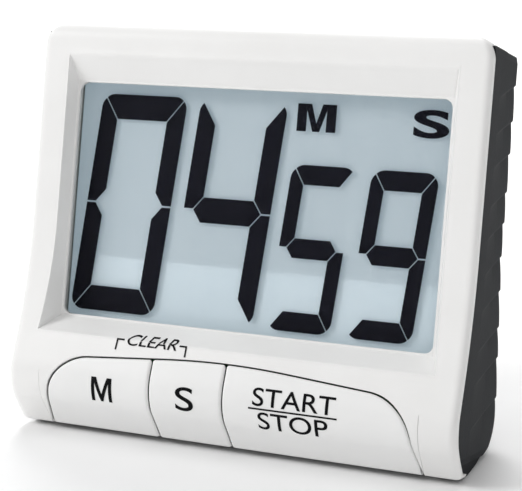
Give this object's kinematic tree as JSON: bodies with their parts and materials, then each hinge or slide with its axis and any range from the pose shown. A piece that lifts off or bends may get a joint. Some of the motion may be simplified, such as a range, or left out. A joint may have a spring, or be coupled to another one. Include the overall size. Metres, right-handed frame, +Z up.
{
  "type": "digital kitchen timer",
  "caption": "Leaning digital kitchen timer with a large display, a white front, push buttons along the foot, a black ribbed back and a fold-out stand.",
  "frame": {"origin": "middle of the footprint on the surface that the timer stands on, in its leaned standing pose", "axes": "+Z up, +X to the viewer's right along the case's width, -Y towards the viewer; the case leans back 12 degrees"},
  "size_m": [0.085, 0.0398, 0.0741],
  "materials": {
    "white_shell": "fine satin moulding texture",
    "white_button": "satin",
    "black_shell": "satin, fine texture",
    "black_stand": "satin",
    "window": "clear, polished",
    "lcd_glass": "clear",
    "lcd_film": "clear film",
    "lcd_back": "pale blue-grey reflector, finely speckled",
    "ink": "black",
    "frame_plastic": "satin",
    "grey_rubber": "matt",
    "board": "solder resist",
    "epoxy": "glossy blob",
    "bright_metal": "nickel plated",
    "brown_ceramic": "dipped",
    "pale_ceramic": "fired",
    "brass": "rolled",
    "carbon": "printed carbon",
    "red_wire": "insulation",
    "black_wire": "insulation",
    "cell_wrap": "printed wrap, no lettering",
    "steel": "zinc plated"
  },
  "bodies": {
    "case": {"front_shell": "white_shell", "window_lens": "window", "lcd_frame": "frame_plastic", "lcd_polariser": "lcd_film", "lcd_front_glass": "lcd_glass", "lcd_segments": "ink", "lcd_rear_glass": "lcd_glass", "lcd_reflector": "lcd_back", "zebra_strip": "grey_rubber", "circuit_board": "board", "chip_blob": "epoxy", "crystal": "bright_metal", "capacitors": "brown_ceramic", "resistors": "pale_ceramic", "contact_pads": "carbon", "dome_minutes": "grey_rubber", "dome_seconds": "grey_rubber", "dome_start_stop": "grey_rubber", "buzzer_plate": "brass", "buzzer_ceramic": "pale_ceramic", "buzzer_leads": "black_wire", "battery_cell": "cell_wrap", "battery_spring": "bright_metal", "battery_plate": "bright_metal", "battery_leads": "red_wire", "rear_shell": "black_shell", "magnets": "bright_metal", "case_screws": "steel", "board_screws": "steel"},
    "button_minutes": {"button_minutes": "white_button"},
    "button_seconds": {"button_seconds": "white_button"},
    "button_start_stop": {"button_start_stop": "white_button"},
    "stand": {"stand": "black_stand"},
    "battery_door": {"battery_door": "black_shell"}
  },
  "joints": [
    {"name": "minutes_press", "type": "slide", "parent": "case", "child": "button_minutes", "axis": [0, 0.9781, -0.2079], "range_m": [0, 0.0008], "stiffness_N_per_m": 400, "springref_m": -0.0015, "deforming": ["dome_minutes"]},
    {"name": "seconds_press", "type": "slide", "parent": "case", "child": "button_seconds", "axis": [0, 0.9781, -0.2079], "range_m": [0, 0.0008], "stiffness_N_per_m": 400, "springref_m": -0.0015, "deforming": ["dome_seconds"]},
    {"name": "start_stop_press", "type": "slide", "parent": "case", "child": "button_start_stop", "axis": [0, 0.9781, -0.2079], "range_m": [0, 0.0008], "stiffness_N_per_m": 400, "springref_m": -0.0015, "deforming": ["dome_start_stop"]},
    {"name": "stand_fold", "type": "hinge", "parent": "case", "child": "stand", "pos_m": [0, 0.00698, 0.0374], "axis": [-1, 0, 0], "range_deg": [0, 24]},
    {"name": "door_pull", "type": "slide", "parent": "case", "child": "battery_door", "axis": [0, 1, 0], "range_m": [0, 0.009]}
  ]
}
